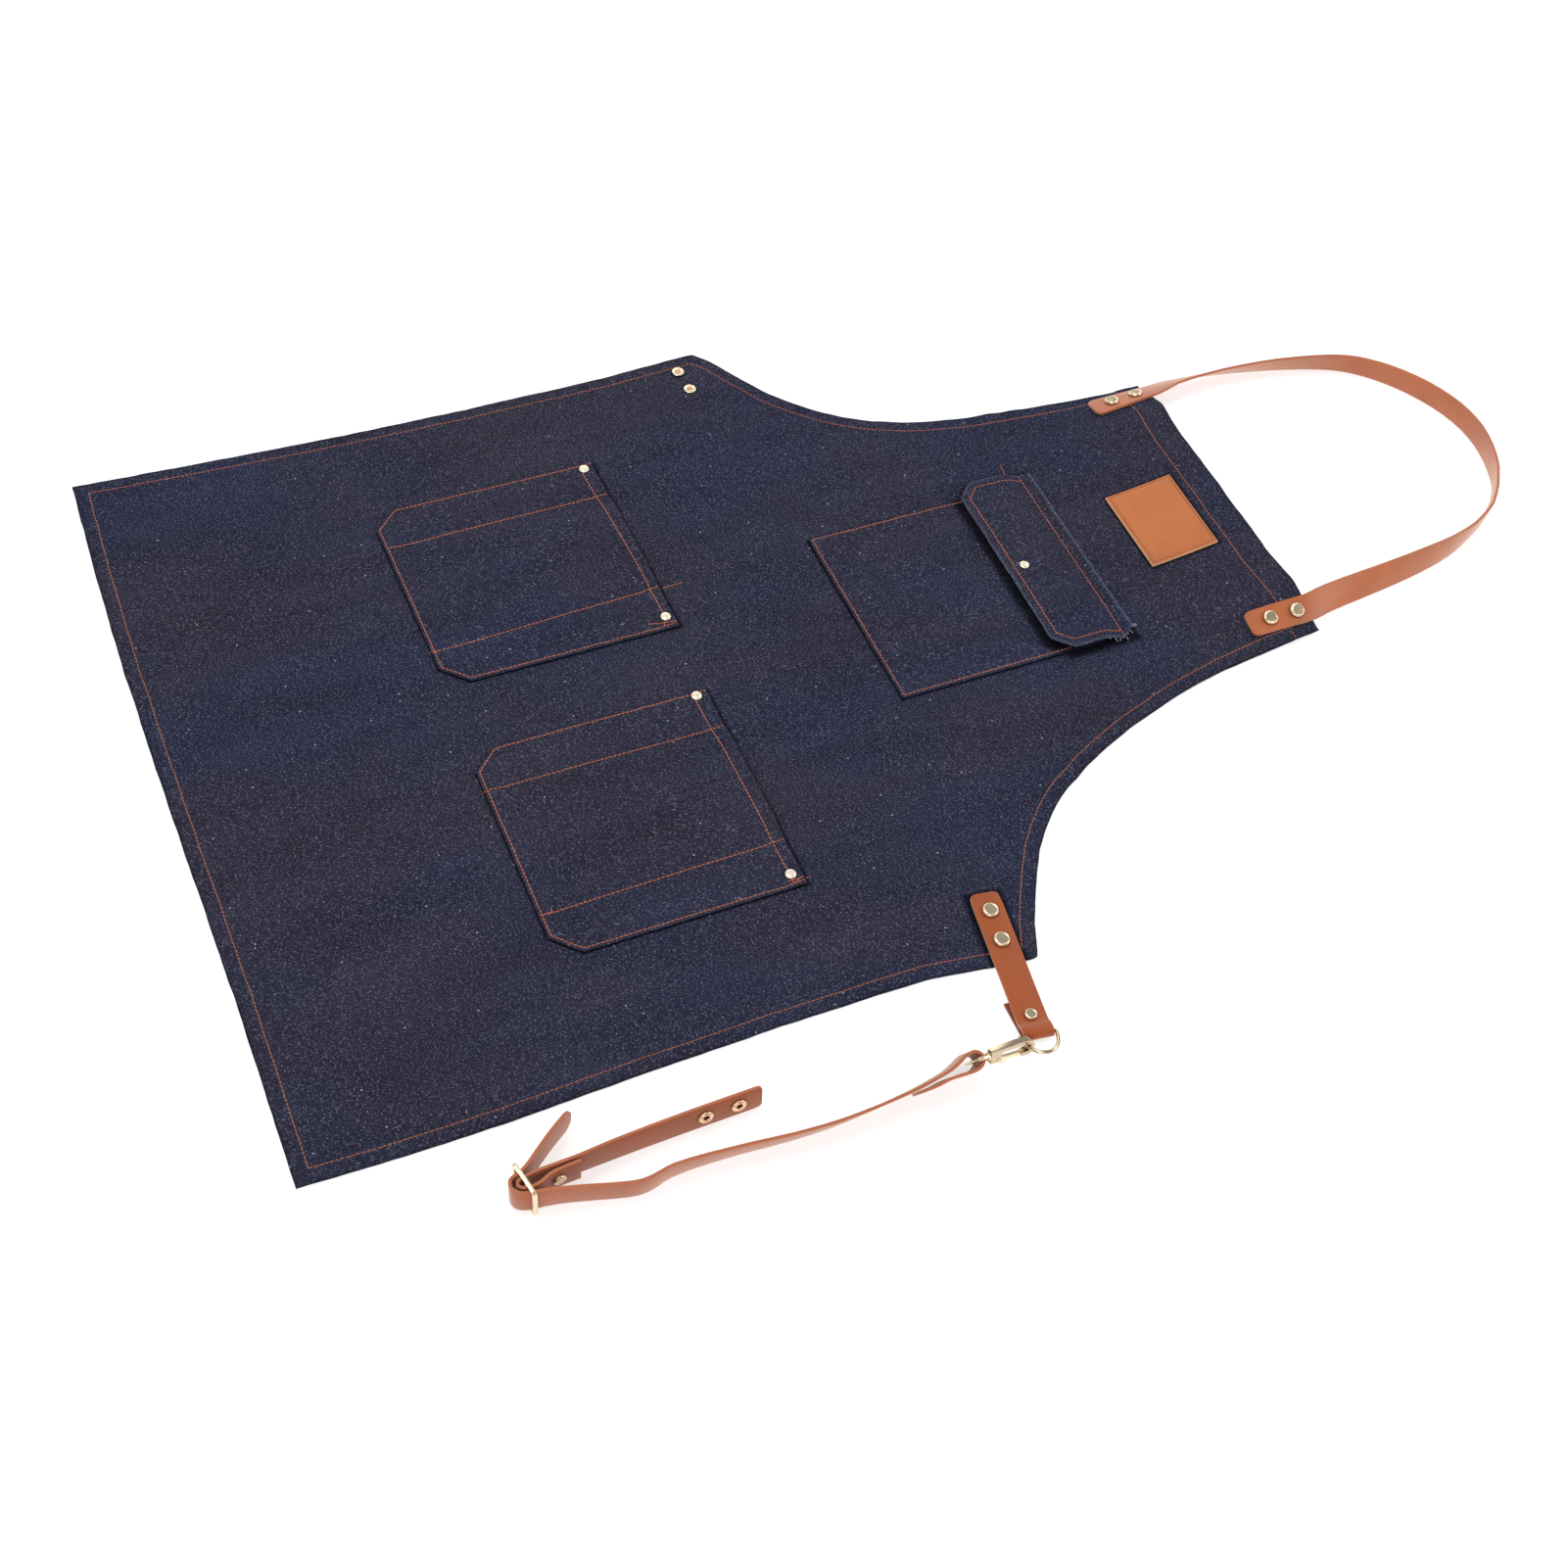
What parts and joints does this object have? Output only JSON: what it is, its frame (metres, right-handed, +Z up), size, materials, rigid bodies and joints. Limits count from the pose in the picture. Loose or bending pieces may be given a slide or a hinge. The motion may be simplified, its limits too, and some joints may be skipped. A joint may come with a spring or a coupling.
{
  "type": "denim work apron",
  "caption": "Denim bib apron laid flat, with patch pockets, a flapped chest pocket, a leather neck strap and a clip-on leather waist strap with a buckle.",
  "frame": {"origin": "middle of the apron's back face, halfway from hem to bib, on the surface it lies on", "axes": "+X towards the side with the tab and waist strap, +Y from the hem to the bib, +Z up from the surface, out of the pockets' side"},
  "size_m": [0.6795, 1.0243, 0.0266],
  "materials": {
    "denim": "dark indigo twill with pale slubs and copper top stitching",
    "patch_leather": "smooth light tan leather, matt, with a stitched edge",
    "strap_leather": "smooth cognac leather, satin, with burnished orange edges",
    "gold_metal": "polished pale gold plating"
  },
  "bodies": {
    "apron": {"apron_panel": "denim", "pocket_left": "denim", "pocket_right": "denim", "chest_pocket": "denim", "pocket_flap": "denim", "leather_patch": "patch_leather", "neck_strap": "strap_leather", "side_tab": "strap_leather", "waist_strap": "strap_leather", "buckle_strap": "strap_leather", "d_ring": "gold_metal", "hook_eye": "gold_metal", "buckle_frame": "gold_metal", "buckle_prong": "gold_metal", "neck_rivet_near_upper": "gold_metal", "neck_rivet_near_lower": "gold_metal", "neck_rivet_far_upper": "gold_metal", "neck_rivet_far_lower": "gold_metal", "tab_rivet_inner": "gold_metal", "tab_rivet_outer": "gold_metal", "tab_fold_rivet": "gold_metal", "pocket_left_rivet_far": "gold_metal", "pocket_left_rivet_near": "gold_metal", "pocket_right_rivet_far": "gold_metal", "pocket_right_rivet_near": "gold_metal", "waist_stud_outer": "gold_metal", "waist_stud_inner": "gold_metal", "flap_snap": "gold_metal", "strap_socket_outer": "gold_metal", "strap_socket_inner": "gold_metal", "buckle_fold_rivet": "gold_metal"},
    "hook": {"hook_body": "gold_metal"},
    "gate": {"hook_gate": "gold_metal"}
  },
  "joints": [
    {"name": "hook_swivel", "type": "hinge", "parent": "apron", "child": "hook", "pos_m": [0.3652, 0.0125, 0.0122], "axis": [-0.061, 0.979, -0.1944], "range_deg": [-15, 15]},
    {"name": "gate_hinge", "type": "hinge", "parent": "hook", "child": "gate", "pos_m": [0.36558, 0.01857, 0.00868], "axis": [0.9431, 0.1203, 0.31], "range_deg": [0, 14], "stiffness_Nm_per_rad": 0.02, "springref_deg": -11.46}
  ]
}
